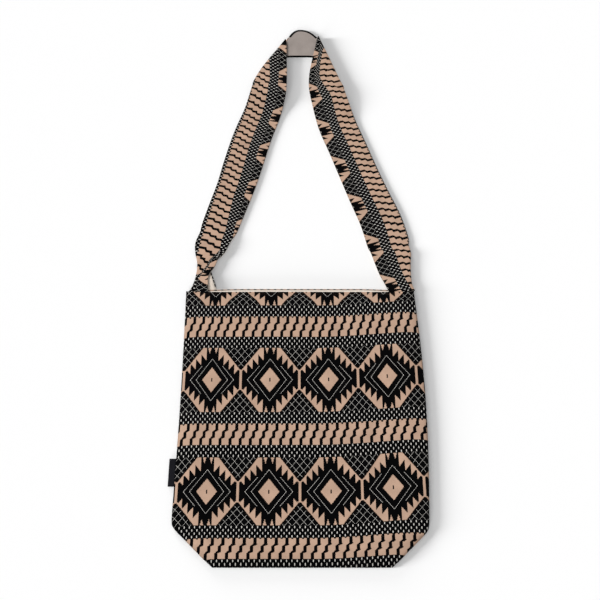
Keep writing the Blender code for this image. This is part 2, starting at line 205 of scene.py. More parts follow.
# Where the figure lies on the band, in millimetres: distances from the figured edge, then for
# lengths along each leg from its middle the cloth's own height at those distances. Near the
# pouch and near the top the cloth is pleated, so that part of its height is hidden. The last two
# rows are the lengths along each leg at which the middles of the figures lie.
ACROSS = (0.0, 5.0, 9.0, 12.0, 13.5, 20.0, 30.0, 40.0, 50.0, 66.0)
LEFT_ACROSS = (
    (-280.0, (33.0, 38.0, 42.0, 45.0, 46.5, 53.0, 63.0, 74.0, 84.0, 100.0)),
    (-242.0, (36.0, 41.0, 45.0, 48.0, 49.5, 56.0, 66.0, 77.0, 88.0, 105.0)),
    (-232.0, (40.0, 45.0, 49.0, 52.0, 71.5, 79.0, 91.0, 102.0, 112.0, 126.0)),
    (-205.0, (43.0, 47.5, 51.5, 71.0, 74.0, 82.0, 94.0, 105.5, 116.0, 130.0)),
    (-180.0, (58.0, 64.9, 70.4, 73.5, 75.0, 81.4, 91.3, 101.1, 111.3, 127.0)),
    (-132.0, (46.0, 51.0, 56.0, 60.0, 62.1, 70.9, 80.9, 90.8, 100.6, 118.0)),
    (-70.0, (40.0, 44.7, 48.8, 52.0, 53.7, 61.0, 72.3, 84.0, 95.6, 113.0)),
    (33.0, (36.3, 41.6, 45.8, 48.9, 50.5, 57.7, 68.4, 80.0, 91.8, 110.0)))
RIGHT_ACROSS = (
    (170.0, (32.1, 37.4, 41.6, 44.7, 46.3, 53.1, 64.1, 75.4, 87.4, 106.5)),
    (215.0, (36.0, 42.0, 47.0, 51.0, 53.0, 64.0, 74.0, 83.0, 92.0, 104.0)),
    (245.0, (42.0, 47.0, 51.0, 58.0, 62.0, 74.5, 82.0, 90.0, 98.0, 104.0)),
    (275.0, (42.0, 47.5, 53.0, 63.0, 68.0, 77.0, 84.0, 91.0, 98.0, 104.0)))
LEFT_ALONG = (-227.4, -132.5, -49.3, 33.0, 113.1, 201.0, 296.0)
RIGHT_ALONG = (-181.1, -98.3, -11.8, 71.9, 159.4, 243.0)

# Turned edges of the band and of the back panel's mouth, and the cloth that shows on them:
# plain ground along the top, dots on the left end and a stripe at the mouth
HEM_REACH = 0.0025
HEM_CLOTH = 0.0004
HEM_OUT = 0.0005
TOP_HEM_CLOTH = (0.5 * REPEAT / 1000, 0.0400)
LEFT_HEM_CLOTH = 0.0526
LEFT_HEM_ROWS = slice(3, 36)
MOUTH_HEM_CLOTH = 0.0780
MOUTH_HEM_EASE = 1.4
MOUTH_HEM_ENDS = 0.03

# The line of the band's grid that shows between which rows the band lies low
BAND_LINE = 25

# Label and stitches
RIBBON = 0.0004
STITCH_LINE = 0.0045
STITCH_ENDS = 0.025
STITCH_PITCH = 1.3

# Floor and camera
FLOOR_REACH = 6.0
FLOOR_LEVEL = -0.0005
FLOOR_GLOW = 0.12
PICTURE = 600
FOCAL_PIXELS = 1120.0
CAMERA_TILT = math.radians(33.0)
CAMERA_REACH = 1.735
CAMERA_AIM = (0.0, 0.2065, 0.0)


class BagSizes(bpy.types.PropertyGroup):
    """Sizes of the bag that a user may change."""
    grid: bpy.props.FloatProperty(
        name="Grid", description="Distance between the points of a cloth's grid",
        default=0.0025, unit="LENGTH")
    pucker: bpy.props.FloatProperty(
        name="Pucker", description="Height of the puckers along the seams",
        default=0.0004, unit="LENGTH")
    slack: bpy.props.FloatProperty(
        name="Slack", description="Height of the slow waves in the pouch",
        default=0.0006, unit="LENGTH")
    stitch: bpy.props.FloatProperty(
        name="Stitch", description="Length of one stitch along the mouth",
        default=0.0026, unit="LENGTH")
    thread: bpy.props.FloatProperty(
        name="Thread", description="Radius of the sewing thread",
        default=0.00022, unit="LENGTH")


class BagColours(bpy.types.PropertyGroup):
    """Colours of the yarns, the lining and the ribbon."""
    ground: bpy.props.FloatVectorProperty(
        name="Ground", description="Black ground yarn", subtype="COLOR", size=3,
        default=(0.0012, 0.0011, 0.0014))
    beige: bpy.props.FloatVectorProperty(
        name="Beige", description="Beige figure yarn", subtype="COLOR", size=3,
        default=(0.54, 0.36, 0.262))
    light: bpy.props.FloatVectorProperty(
        name="Light", description="Light yarn of the dots and fine lines", subtype="COLOR",
        size=3, default=(0.66, 0.635, 0.59))
    cotton: bpy.props.FloatVectorProperty(
        name="Cotton", description="Undyed lining cotton", subtype="COLOR", size=3,
        default=(0.80, 0.71, 0.62))
    # Painted shade: the darker grey-brown that the lining is given towards the band's top
    painted_shade: bpy.props.FloatVectorProperty(
        name="Painted shade on cotton", description="Lining cotton where it lies on the shoulder",
        subtype="COLOR", size=3, default=(0.34, 0.295, 0.27))
    ribbon: bpy.props.FloatVectorProperty(
        name="Ribbon", description="Woven ribbon of the label", subtype="COLOR", size=3,
        default=(0.010, 0.010, 0.013))
    thread: bpy.props.FloatVectorProperty(
        name="Thread", description="Sewing thread along the mouth", subtype="COLOR", size=3,
        default=(0.10, 0.055, 0.035))


def smoothstep(value):
    """Zero below 0, one above 1, and 3v^2 - 2v^3 between them."""
    value = np.clip(value, 0.0, 1.0)
    return value * value * (3.0 - 2.0 * value)


def fade(value, start, end):
    """Smoothstep of the share of the way from a start to an end."""
    return smoothstep((value - start) / (end - start))


def round_over(distance):
    """A quarter of an ellipse: the square root of 1 - (1 - distance / EDGE_ROUND)^2."""
    reach = np.clip(distance / EDGE_ROUND, 0.0, 1.0)
    return np.sqrt(1.0 - (1.0 - reach) ** 2)


def soft_least(values, softness):
    """A smooth least value: minus the softness times the log of the summed exponentials."""
    return -softness * np.log(sum(np.exp(-v / softness) for v in values))


def seam_distance(x, y):
    """Smooth least distance to the two sides, the bottom and the cut corner."""
    side = HALF_WIDTH - np.abs(x)
    bottom = y - BOTTOM
    cut = np.where(x < 0, LEFT_CUT, RIGHT_CUT)
    corner = (side + bottom - cut) / math.sqrt(2.0)
    return np.maximum(soft_least((side, bottom, corner), CORNER_SOFT), 0.0)


def front_mouth(x):
    """The front edge of the mouth, which dips as far as the edges are rounded over."""
    return MOUTH - FRONT_DIP * round_over(HALF_WIDTH - np.abs(x))


def back_mouth(x):
    """The back edge of the mouth, which rises from both sides to the middle."""
    return MOUTH + BACK_RISE * smoothstep((HALF_WIDTH - np.abs(x)) / (HALF_WIDTH / 2))


def bulge(x, y):
    """Half a sine wave up each side swells the right side and draws the left one in."""
    up = np.clip((y - BOTTOM - RIGHT_CUT) / (MOUTH - BOTTOM - RIGHT_CUT), 0.0, 1.0)
    swell = SIDE_BULGE * smoothstep(x / HALF_WIDTH) + SIDE_TUCK * smoothstep(-x / HALF_WIDTH)
    return x + swell * np.sin(math.pi * up)


def pouch_grid(step, inset=0.0):
    """Grid of x and y inside the pouch's outline.

    Rows run up at even steps. Each row runs between the sides, which move in by a smooth corner
    cut: half of c plus the square root of c^2 + k^2, where c is how far below the cut it is.
    """
    rows = int((MOUTH - BOTTOM) / step)
    columns = int(2 * HALF_WIDTH / step)
    y = np.linspace(BOTTOM + inset, MOUTH, rows)[:, None]
    ends = []
    for cut in (LEFT_CUT, RIGHT_CUT):
        below = cut - (y - BOTTOM)
        ends.append(HALF_WIDTH - inset - 0.5 * (below + np.hypot(below, CORNER_SOFT)))
    share = np.linspace(0.0, 1.0, columns)[None, :]
    x = -ends[0] + share * (ends[0] + ends[1])
    return x, y + 0 * x


def stretch_to_mouth(y, mouth):
    """Moves the cloth near the mouth so that it ends on the mouth's edge."""
    return y + fade(y, MOUTH - MOUTH_REACH, MOUTH) * (mouth - MOUTH)


def slow_waves(x, y, height):
    """A few crossing sine waves, long and low, as soft cloth has when it lies down."""
    waves = sum(share * np.sin(across * x + up * y + shift) for across, up, shift, share in WAVES)
    return height * waves / sum(wave[3] for wave in WAVES)


def seam_puckers(x, y, distance, height):
    """Short waves along the seam that fade inwards as an exponential."""
    along = np.arctan2(y, x * 1.2) * 0.22
    long, short = (2 * math.pi * along / length for length in PUCKER_LENGTHS)
    waves = np.sin(long) + 0.6 * np.sin(short + 1.0)
    return height * waves * np.exp(-distance / PUCKER_REACH) * smoothstep(distance / 0.002)


def cloth_of_pouch(x, y):
    """Cloth coordinates in metres: x across, and y up from the first figure row.

    The cloth is eased by a square term, climbs a little towards the right side, is drawn
    round the left side seam and is drawn under along the bottom seam.
    """
    up = y - FIGURE_ROW - SIDE_RISE * fade(x, *RISE_SPAN)
    low = fade(y, *LOW_SPAN)
    eased = EASE * up + EASE_GROWTH * up ** 2 + LOW_EASE * low * fade(y, *LOW_EASE_SPAN)
    across = bulge(x, y)
    drawn = SEAM_DRAW + (LOW_SEAM_DRAW - SEAM_DRAW) * low
    across = across + UPPER_SHIFT * (1.0 - low) - drawn * fade(across, *SEAM_SPAN)
    return np.stack([across, eased], axis=-1)


def front_height(sizes, x, y, slack=0.0):
    """Height of the front panel's lower face: the rounded edge plus the slow waves."""
    distance = seam_distance(x, y)
    waves = slow_waves(x, y, sizes.slack) * smoothstep(distance / WAVES_FROM_SEAM)
    return SEAM_LEVEL + LIFT * round_over(distance - slack) + waves


def front_surface(sizes, step):
    """The front panel's lower face: the height above with puckers along its seams."""
    x, y = pouch_grid(step)
    z = front_height(sizes, x, y) + seam_puckers(x, y, seam_distance(x, y), sizes.pucker)
    points = np.stack([bulge(x, y), stretch_to_mouth(y, front_mouth(x)), z], axis=-1)
    return points, cloth_of_pouch(x, y)


def back_surface(step):
    """The back panel's flat lower face, with its cloth seen from behind."""
    x, y = pouch_grid(step)
    points = np.stack([bulge(x, y), stretch_to_mouth(y, back_mouth(x)), 0 * x], axis=-1)
    return points, cloth_of_pouch(x, y) * (-1.0, 1.0)


def lining_surface(sizes, step, front):
    """The lining lies one gap inside its panel; the front one sags in the rounded edge."""
    x, y = pouch_grid(step, LINING_INSET)
    if front:
        z = front_height(sizes, x, y, LINING_SLACK) - CLEAR - LINING
        mouth = front_mouth(x) - 2 * CLEAR
    else:
        z = JACQUARD + CLEAR + 0 * x
        mouth = back_mouth(x) - 2 * CLEAR
    points = np.stack([bulge(x, y), stretch_to_mouth(y, mouth), z], axis=-1)
    return points, np.stack([x, y], axis=-1)


def curve_through(points, count):
    """Catmull and Rom blend through the points: cubic spans with matching slopes."""
    points = np.asarray(points, float)
    padded = np.vstack([2 * points[0] - points[1], points, 2 * points[-1] - points[-2]])
    spans = len(points) - 1
    places = np.linspace(0.0, spans, count)
    span = np.minimum(places.astype(int), spans - 1)
    t = (places - span)[:, None]
    a, b, c, d = (padded[span + i] for i in range(4))
    return 0.5 * (2 * b + (c - a) * t + (2 * a - 5 * b + 4 * c - d) * t ** 2
                  + (3 * b - a - 3 * c + d) * t ** 3)


def across_shares():
    """Places across the band, close together where it folds round the side seam."""
    back = np.linspace(0.0, BACK_SHARE, 7)
    fold = np.linspace(BACK_SHARE, FOLD_SHARE, 10)
    front = np.linspace(FOLD_SHARE, 1.0, 34)
    return np.concatenate([back, fold[1:], front[1:]])


def folded_end(ends, side, count):
    """The folded end as a grid: behind, a half circle over the fold, and the part in front."""
    shares = across_shares()[None, :]
    height, inset, front, behind = (curve_through(ends, count) * BAND_WIDTH).T[:, :, None]
    turn = END_LIFT * (1.0 - smoothstep(height / (height[-1] / 2)))
    low = JACQUARD + CLEAR / 2
    back = shares / BACK_SHARE
    angle = math.pi * (shares - BACK_SHARE) / (FOLD_SHARE - BACK_SHARE)
    away = front * (shares - FOLD_SHARE) / (1.0 - FOLD_SHARE)
    on_back = shares <= BACK_SHARE
    on_fold = shares < FOLD_SHARE
    out = np.where(on_back, FOLD_RADIUS + behind * (1.0 - back),
                   np.where(on_fold, FOLD_RADIUS * (1.0 - np.sin(angle)), FOLD_RADIUS + away))
    rise = 2 * FOLD_RADIUS + turn * LIFT * round_over(np.maximum(away, 0.0))
    z = low + np.where(on_back, 0.0, np.where(on_fold, FOLD_RADIUS * (1.0 - np.cos(angle)), rise))
    x = side * (HALF_WIDTH - inset - out)
    y = MOUTH + height + 0 * x
    mouth = np.where(on_back, back_mouth(x), front_mouth(x)) + 2 * CLEAR
    y += (mouth - MOUTH) * (1.0 - smoothstep(height / END_TO_MOUTH))
    return np.stack([x, y, z], axis=-1)


def flat_leg(route, side, count):
    """The flat leg as a grid, square to a smooth middle line, lifted near its top."""
    start = HALF_WIDTH - LEG_INSET
    line = [(side * (start + (CROSSING - start) * inwards), MOUTH + BAND_RISE * up,
             BAND_WIDTH * width) for up, inwards, width in route]
    line = curve_through(line, count)
    middle = line[:, :2]
    along = np.gradient(middle, axis=0)
    along /= np.linalg.norm(along, axis=1)[:, None]
    outwards = np.stack([along[:, 1], -along[:, 0]], axis=1) * side
    offset = line[:, 2, None] * (0.5 - across_shares())[None]
    plan = middle[:, None, :] + offset[:, :, None] * outwards[:, None, :]
    level = LINING + CLEAR / 2
    up = np.linspace(0.0, 1.0, count)
    top = 2 * ROLL_RADIUS + JACQUARD + CLEAR / 2
    z = level + fade(up, LEG_LIFTS, 1.0) * (top - level)
    return np.concatenate([plan, np.broadcast_to(z[:, None, None], plan.shape[:2] + (1,))], axis=2)


def bridge(before, last, crease_row, carry, count):
    """Rows from a leg to its crease, at last + t way + t (1 - t)^2 turn.

    The figured edge leaves the leg in the leg's own direction and the striped one heads
    straight for the crease.
    """
    way = crease_row - last
    leaving = last - before
    leaving[:, 2] = 0.0
    leaving *= (np.linalg.norm(way, axis=1) / np.linalg.norm(leaving, axis=1))[:, None]
    turn = carry * across_shares()[:, None] * (leaving - way)
    t = np.linspace(0.0, 1.0, count + 2)[1:-1, None, None]
    return last[None] + t * way[None] + t * (1.0 - t) ** 2 * turn[None]


def crease_roll(crease, side, count):
    """Half a turn about the slanting crease, flatter towards the striped edge.

    The crease is bowed by 6.75 s (1 - s)^2, which is 1 at its highest.
    """
    inwards, up, length, lean, bow = crease[:5]
    shares = across_shares()
    lean = math.radians(lean)
    along = np.array([-side * math.cos(lean), math.sin(lean)])
    outwards = np.array([side * math.sin(lean), math.cos(lean)])
    middle = np.array([side * CROSSING * inwards, MOUTH + BAND_RISE * up])
    low = JACQUARD + CLEAR / 2
    line = middle + ((shares - 0.5) * length * BAND_WIDTH)[:, None] * along
    line = line + (bow * BAND_WIDTH * 6.75 * shares * (1.0 - shares) ** 2)[:, None] * outwards
    depth = ROLL_RADIUS * smoothstep(shares / ROLL_SHARE)
    angle = np.linspace(0.0, math.pi, count)[:, None]
    plan = line[None] + ((np.sin(angle) - 1.0) * depth[None])[:, :, None] * outwards
    z = low + ROLL_RADIUS * (1.0 + np.cos(angle)) + 0 * plan[:, :, 0]
    return np.dstack([plan, z])


def middle_row():
    """The row across the middle of the top, straight up the band's width."""
    y = MOUTH + BAND_RISE - TOP_DROP + BAND_WIDTH * (across_shares() - 0.5)
    return np.stack([0 * y, y, 0 * y + JACQUARD + CLEAR / 2], axis=1)


def low_stretch(first, last, count):
    """Rows that move sideways evenly; the striped edge has risen before the middle."""
    shares = across_shares()[None, :]
    risen = STRIPED_RISEN + (1.0 - STRIPED_RISEN) * shares
    power = STRIPED_BEND + (FIGURED_BEND - STRIPED_BEND) * shares
    t = np.linspace(0.0, 1.0, count + 1)[1:, None]
    grid = first[None] + t[:, :, None] * (last - first)[None]
    early = 1.0 - np.maximum(1.0 - t / risen, 0.0) ** power
    grid[:, :, 1] = first[None, :, 1] + early * (last - first)[None, :, 1]
    return grid


def joined_rows(first, last, count):
    """Rows between two others, evenly spaced, both ends left out."""
    share = np.linspace(0.0, 1.0, count + 2)[1:-1, None, None]
    return first[None] + share * (last - first)[None]


def smoothed(grid, passes):
    """Each inner row becomes half itself and a quarter of each neighbour, again and again."""
    for _ in range(passes):
        grid[1:-1] = 0.25 * grid[:-2] + 0.5 * grid[1:-1] + 0.25 * grid[2:]
    return grid


def band_half(route, crease, ends, side):
    """One side of the band from the mouth to the top, and the row at its leg's middle."""
    end = folded_end(ends, side, END_ROWS)
    leg = flat_leg(route, side, LEG_ROWS)
    roll = crease_roll(crease, side, ROLL_ROWS)
    into = joined_rows(end[-1], leg[0], INTO_ROWS)
    over = bridge(leg[-3], leg[-1], roll[0], crease[5], OVER_ROWS)
    low = low_stretch(roll[-1], middle_row(), LOW_ROWS)
    grid = np.concatenate([end, into, leg, over, roll, low])
    return smoothed(grid, SMOOTHING), len(end) + len(into) + len(leg) // 2


def lengths_along(grid, middle):
    """Length of every line along the band, counted from one row."""
    steps = np.linalg.norm(np.diff(grid, axis=0), axis=2)
    lengths = np.concatenate([np.zeros((1, grid.shape[1])), np.cumsum(steps, axis=0)])
    return lengths - lengths[middle]


def along_cloth(lengths, ends):
    """The cloth's own length at a length along a leg, in straight pieces, all in metres."""
    places = np.array(ends) / 1000
    values = REPEAT / 1000 * (np.arange(len(places)) - 2.5)
    inner = np.interp(lengths, places, values)
    past = np.maximum(lengths - places[-1], 0.0) - np.maximum(places[0] - lengths, 0.0)
    return inner + past


def across_cloth(grid, lengths, table):
    """The cloth's own height, from the distance to the figured edge and the length along."""
    steps = np.linalg.norm(np.diff(grid[:, ::-1], axis=1), axis=2)
    away = np.concatenate([np.zeros((len(grid), 1)), np.cumsum(steps, axis=1)], axis=1)[:, ::-1]
    away = away * np.minimum(1.0, BAND_WIDTH / away[:, :1]) * 1000
    places = [length for length, _ in table]
    heights = [np.interp(away, ACROSS, values) for _, values in table]
    total = 0.0 * away
    for i, height in enumerate(heights):
        share = np.interp(lengths * 1000, places, np.eye(len(places))[i])
        total += share * height
    return total / 1000


def band_surface():
    """The whole band's middle surface and its cloth coordinates.

    The two legs' cloth meets at the top: whole repeats of the gap between them are taken off,
    and each side gives way by half of what is left.
    """
    left, left_middle = band_half(LEFT_ROUTE, LEFT_CREASE, LEFT_END, -1)
    right, right_middle = band_half(RIGHT_ROUTE, RIGHT_CREASE, RIGHT_END, 1)
    left_lengths = lengths_along(left, left_middle)
    right_lengths = lengths_along(right, right_middle)
    up = along_cloth(left_lengths, LEFT_ALONG)
    down = along_cloth(-right_lengths, RIGHT_ALONG)
    gap = down[-1] - up[-1]
    gap -= round(float(gap.mean()) / (REPEAT / 1000)) * REPEAT / 1000
    down += up[-1] + gap - down[-1]
    near_left = smoothstep((np.arange(len(left)) - len(left) + LOW_ROWS) / LOW_ROWS)
    near_right = smoothstep((np.arange(len(right)) - len(right) + LOW_ROWS) / LOW_ROWS)
    up += 0.5 * gap * near_left[:, None]
    down -= 0.5 * gap * near_right[:, None]
    points = np.concatenate([left, right[::-1][1:]])
    along = np.concatenate([up, down[::-1][1:]])
    heights = [across_cloth(left, left_lengths[:, -1:], LEFT_ACROSS),
               across_cloth(right, right_lengths[:, -1:], RIGHT_ACROSS)[::-1][1:]]
    height = np.concatenate(heights)
    middle = 0.5 * (heights[0][-1] + heights[1][0])
    near = np.concatenate([near_left, near_right[::-1][1:]])[:, None]
    height = (1.0 - near) * height + near * middle
    return points, np.stack([along, height], axis=-1)


def turned_edge(line, inwards, lining_side, along, height, reach):
    """A narrow turned edge as a grid: beside the edge, over it and back on the lining.

    Its profile is a quarter of an ellipse between an upright and a level stretch.
    """
    face = JACQUARD + CLEAR / 2
    top = CLEAR / 2 + LINING + CLEAR
    turn = np.linspace(0.0, math.pi / 2, 5)
    away = np.concatenate([[HEM_OUT], HEM_OUT * np.cos(turn), -np.linspace(0.0, reach, 4)[1:]])
    rise = np.concatenate([[-face], top * np.sin(turn), [top] * 3])
    points = line[:, None] - away[None, :, None] * inwards[:, None]
    points = points + rise[None, :, None] * lining_side[:, None]
    arc = np.concatenate([[0.0], np.cumsum(np.hypot(np.diff(away), np.diff(rise)))])
    along = np.broadcast_to(along, len(line))[:, None]
    cloth = np.stack([along + 0 * arc[None], height + arc[None] + 0 * along], axis=-1)
    return points, cloth


def surface_normals(grid):
    """Unit cross product of the differences across and along the grid."""
    normal = np.cross(np.gradient(grid, axis=1), np.gradient(grid, axis=0))
    return normal / np.linalg.norm(normal, axis=2)[:, :, None]


def sheet_object(name, points, cloth, material, thickness, offset):
    """A grid of quads with a cloth map, given its thickness by Solidify."""
    rows, columns = points.shape[:2]
    index = np.arange(rows * columns).reshape(rows, columns)
    quads = np.stack([index[:-1, :-1], index[:-1, 1:], index[1:, 1:], index[1:, :-1]], axis=-1)
    quads = quads.reshape(-1, 4)
    mesh = bpy.data.meshes.new(name)
    mesh.from_pydata(points.reshape(-1, 3).tolist(), [], quads.tolist())
    uv = mesh.uv_layers.new(name="cloth")
    uv.data.foreach_set("uv", cloth.reshape(-1, 2)[quads.ravel()].ravel())
    mesh.shade_smooth()
    mesh.materials.append(material)
    piece = bpy.data.objects.new(name, mesh)
    bpy.context.scene.collection.objects.link(piece)
    wall = piece.modifiers.new("cloth thickness", "SOLIDIFY")
    wall.thickness = thickness
    wall.offset = offset
    return piece


class Field:
    """A number that a shader works out at each point; a formula of fields adds its nodes."""

    def __init__(self, socket):
        self.socket = socket

    def math(self, operation, *values):
        tree = self.socket.id_data
        made = tree.nodes.new("ShaderNodeMath")
        made.operation = operation
        for socket, value in zip(made.inputs, values):
            if isinstance(value, Field):
                tree.links.new(value.socket, socket)
            else:
                socket.default_value = value
        return Field(made.outputs[0])

    def __add__(self, other):
        return self.math("ADD", self, other)

    def __sub__(self, other):
        return self.math("SUBTRACT", self, other)

    def __rsub__(self, other):
        return self.math("SUBTRACT", other, self)

    def __mul__(self, other):
        return self.math("MULTIPLY", self, other)

    def __truediv__(self, number):
        return self * (1 / number)

    def __lt__(self, other):
        return self.math("LESS_THAN", self, other)

    def __gt__(self, other):
        return self.math("GREATER_THAN", self, other)

    def __and__(self, other):
        return self.math("MULTIPLY", self, other)

    def __or__(self, other):
        return self.math("MAXIMUM", self, other)

    def __abs__(self):
        return self.math("ABSOLUTE", self)

    def whole(self):
        return self.math("FLOOR", self)

    def rest(self):
        return self.math("FRACT", self)

    def centred(self):
        """The distance from the nearest whole number, with its sign."""
        return (self + 0.5).rest() - 0.5


class Graph:
    """Adds nodes to a shader tree and hands back their outputs."""

    def __init__(self, tree):
        self.tree = tree

    def node(self, kind, **settings):
        made = self.tree.nodes.new(kind)
        for name, value in settings.items():
            setattr(made, name, value)
        return made

    def feed(self, socket, value):
        value = value.socket if isinstance(value, Field) else value
        if isinstance(value, bpy.types.NodeSocket):
            self.tree.links.new(value, socket)
        else:
            socket.default_value = value

    def parts(self, vector):
        """The x and y of a vector, as fields."""
        made = self.node("ShaderNodeSeparateXYZ")
        self.feed(made.inputs[0], vector)
        return Field(made.outputs[0]), Field(made.outputs[1])

    def mix(self, factor, a, b):
        made = self.node("ShaderNodeMix", data_type="RGBA")
        self.feed(made.inputs["Factor"], factor)
        self.feed(made.inputs[6], a)
        self.feed(made.inputs[7], b)
        return made.outputs[2]

    def noise(self, vector, scale, detail=2.0):
        made = self.node("ShaderNodeTexNoise")
        self.feed(made.inputs["Vector"], vector)
        made.inputs["Scale"].default_value = scale
        made.inputs["Detail"].default_value = detail
        return Field(made.outputs["Fac"])


def new_group(name, inputs, outputs):
    """An empty node group with the named sockets, each a name and a kind of socket."""
    group = bpy.data.node_groups.new(name, "ShaderNodeTree")
    for sockets, side in ((inputs, "INPUT"), (outputs, "OUTPUT")):
        for socket, kind in sockets.items():
            group.interface.new_socket(name=socket, in_out=side, socket_type="NodeSocket" + kind)
    graph = Graph(group)
    source = graph.node("NodeGroupInput")
    result = graph.node("NodeGroupOutput")
    return graph, source.outputs, result.inputs


def in_steps(value, step):
    """The middle of the step of yarn in which a value lies."""
    return ((value / step).whole() + 0.5) * step


def from_figure(x):
    """Distance across from the middle of the nearest figure."""
    return abs((x / REPEAT).rest() - 0.5) * REPEAT


def from_row(y):
    """Distance up from the middle of the nearest row of figures, with its sign."""
    return (y / PERIOD).centred() * PERIOD


def thin_diamond(dx, dy, half):
    """The line where dx / half width + dy / half height is 1."""
    ring = dx / half[0] + dy / half[1] - 1.0
    return abs(ring) < LINE_HALF * math.hypot(1 / half[0], 1 / half[1])


def hexagon_side(dy):
    """Half width of the hexagon, which narrows evenly past its upright sides."""
    return HEXAGON_HALF - (dy - UPRIGHT_HALF) * SIDE_SLOPE


def toothed_hexagon(dx, dy):
    """Teeth, thin sloping edge, bar between two hexagons and small triangles.

    Each tooth starts one fall lower than the last, and its lower edge leans up.
    """
    side = hexagon_side(dy)
    within = (dx < side) & (dy < FIGURE_HALF)
    past = dx - TEETH_START
    tooth = (past / TOOTH).whole() | 0.0
    tips = TOOTH_TIP - tooth * TOOTH_FALL + (past - tooth * TOOTH) * TOOTH_LEAN
    teeth = within & (dy > tips) & (dx > TEETH_START) & (dy > TEETH_LOW)
    edge = within & (dx > side - EDGE_STRIP[0]) & (dy > EDGE_STRIP[1])
    bar = (dx > REPEAT / 2 - BAR[0]) & (dy < BAR[1])
    spread = (dy - TRIANGLE[1]) * TRIANGLE_SPREAD
    triangle = (abs(dx - TRIANGLE[0]) < spread) & (dy < FIGURE_HALF)
    return teeth | edge | bar | triangle


def crossed_lines(dx, dy):
    """Rising and falling thin lines outside the hexagons."""
    beyond = (dx > hexagon_side(dy) + LATTICE_CLEAR) & (dy < FIGURE_HALF) & (dy > LATTICE_LOW)
    cell = (REPEAT / 2 - dx) / LATTICE[0]
    climb = (dy - LATTICE_CROSS) / LATTICE[1]
    rising = abs((cell + climb).centred()) < LATTICE_HALF
    falling = abs((cell - climb).centred()) < LATTICE_HALF
    return beyond & (rising | falling)


def dot_rows(x, dy):
    """Upright ovals, (x / a)^2 + (y / b)^2 below 1, each row half a dot aside of the last."""
    rows = (dy - FIGURE_HALF) / DOT_ROW
    row = rows.whole()
    in_row = (rows - row - 0.5) * DOT_ROW / DOT[1]
    in_cell = (x / DOT_PITCH + row * 0.5).centred() * DOT_PITCH / DOT[0]
    oval = in_cell * in_cell + in_row * in_row
    return (oval < 1.0) & (dy > FIGURE_HALF) & (dy < DOTS_END)


def step_share(share, start):
    """How much of a step has been climbed: even from its start, and 0 to 1."""
    climbed = ((share - start) / STEP_RISE) | 0.0
    return climbed.math("MINIMUM", climbed, 1.0)


def stepped_blocks(weft, by):
    """Blocks that climb the stripe in two sideways steps, notched at their upper end.

    The gap between them widens inside a step of share f by f (1 - f).
    """
    up = by - by.math("SIGN", by) * (PERIOD / 2)
    share = (up + STRIPE_HALF) / (2 * STRIPE_HALF)
    first = step_share(share, STEP_STARTS[0])
    second = step_share(share, STEP_STARTS[1])
    shift = first * STEP_SHIFTS[0] + second * STEP_SHIFTS[1] + share * EVEN_SHIFT
    block = (weft / STRIPE_BLOCK - shift).rest()
    gap = (first * (1.0 - first) + second * (1.0 - second)) * GAP_GROWTH + BLOCK_GAP
    notch = (up > STRIPE_HALF - NOTCH_DEPTH) & (abs(block - NOTCH[0]) < NOTCH[1])
    return (block > gap) & (abs(up) < STRIPE_HALF) & (1.0 - notch)


def woven_figure_group():
    """Masks of the woven figure from cloth coordinates in metres.

    Beige is the diamonds, the toothed hexagons and the stepped blocks, in whole steps of yarn.
    Light is the thin diamonds, the crossed lines and the dots, where nothing beige lies.
    """
    name = "woven figure"
    if name in bpy.data.node_groups:
        return bpy.data.node_groups[name]
    g, source, result = new_group(name, {"Cloth": "Vector"},
                                  {"Beige": "Float", "Light": "Float", "Height": "Float"})
    x, y = (part * 1000.0 for part in g.parts(source["Cloth"]))
    weft = in_steps(x, WEFT_STEP)
    by = from_row(in_steps(y, WARP_STEP))
    dx, dy = from_figure(weft), abs(by)
    dash = (dx < DASH[0]) & (dy < DASH[1])
    diamond = (dx / DIAMOND[0] + dy / DIAMOND[1] < 1.0) & (1.0 - dash)
    beige = diamond | toothed_hexagon(dx, dy) | stepped_blocks(weft, by)
    dx, dy = from_figure(x), abs(from_row(y))
    lines = thin_diamond(dx, dy, INNER_LINE)
    lines = lines | (thin_diamond(dx, dy, OUTER_LINE) & (dy < OUTER_LINE_END))
    lines = lines & ((dy / LINE_STITCH).rest() < LINE_SHOWS)
    light = (lines | crossed_lines(dx, dy) | dot_rows(x, dy)) & (1.0 - beige)
    ribs = x.math("SINE", (x + y * 0.8) * (2 * math.pi / RIB_PITCH))
    picks = y.math("SINE", y * (2 * math.pi / WARP_STEP))
    g.feed(result["Beige"], beige)
    g.feed(result["Light"], light)
    g.feed(result["Height"], (beige | light) * 0.6 + (ribs + picks) * 0.16)
    return g.tree


def yarn_group():
    """Uneven brightness of a yarn: broad patches and fine fibres from two noises."""
    name = "yarn variation"
    if name in bpy.data.node_groups:
        return bpy.data.node_groups[name]
    g, source, result = new_group(
        name, {"Cloth": "Vector", "Colour": "Color", "Amount": "Float"}, {"Colour": "Color"})
    broad = g.noise(source["Cloth"], 45.0)
    fine = g.noise(source["Cloth"], 1900.0, 3.0)
    uneven = broad * 0.8 + fine * 1.2 - 1.0
    made = g.node("ShaderNodeVectorMath", operation="SCALE")
    g.feed(made.inputs[0], source["Colour"])
    g.feed(made.inputs["Scale"], uneven * Field(source["Amount"]) + 1.0)
    g.feed(result["Colour"], made.outputs[0])
    return g.tree


def plain_weave_group():
    """Height of a plain weave: crossed sine waves, over and under in turn."""
    name = "plain weave"
    if name in bpy.data.node_groups:
        return bpy.data.node_groups[name]
    g, source, result = new_group(
        name, {"Cloth": "Vector", "Pitch": "Float"}, {"Height": "Float"})
    x, y = g.parts(source["Cloth"])
    turn = x.math("DIVIDE", math.pi, Field(source["Pitch"]))
    g.feed(result["Height"], x.math("SINE", x * turn) * y.math("SINE", y * turn))
    return g.tree


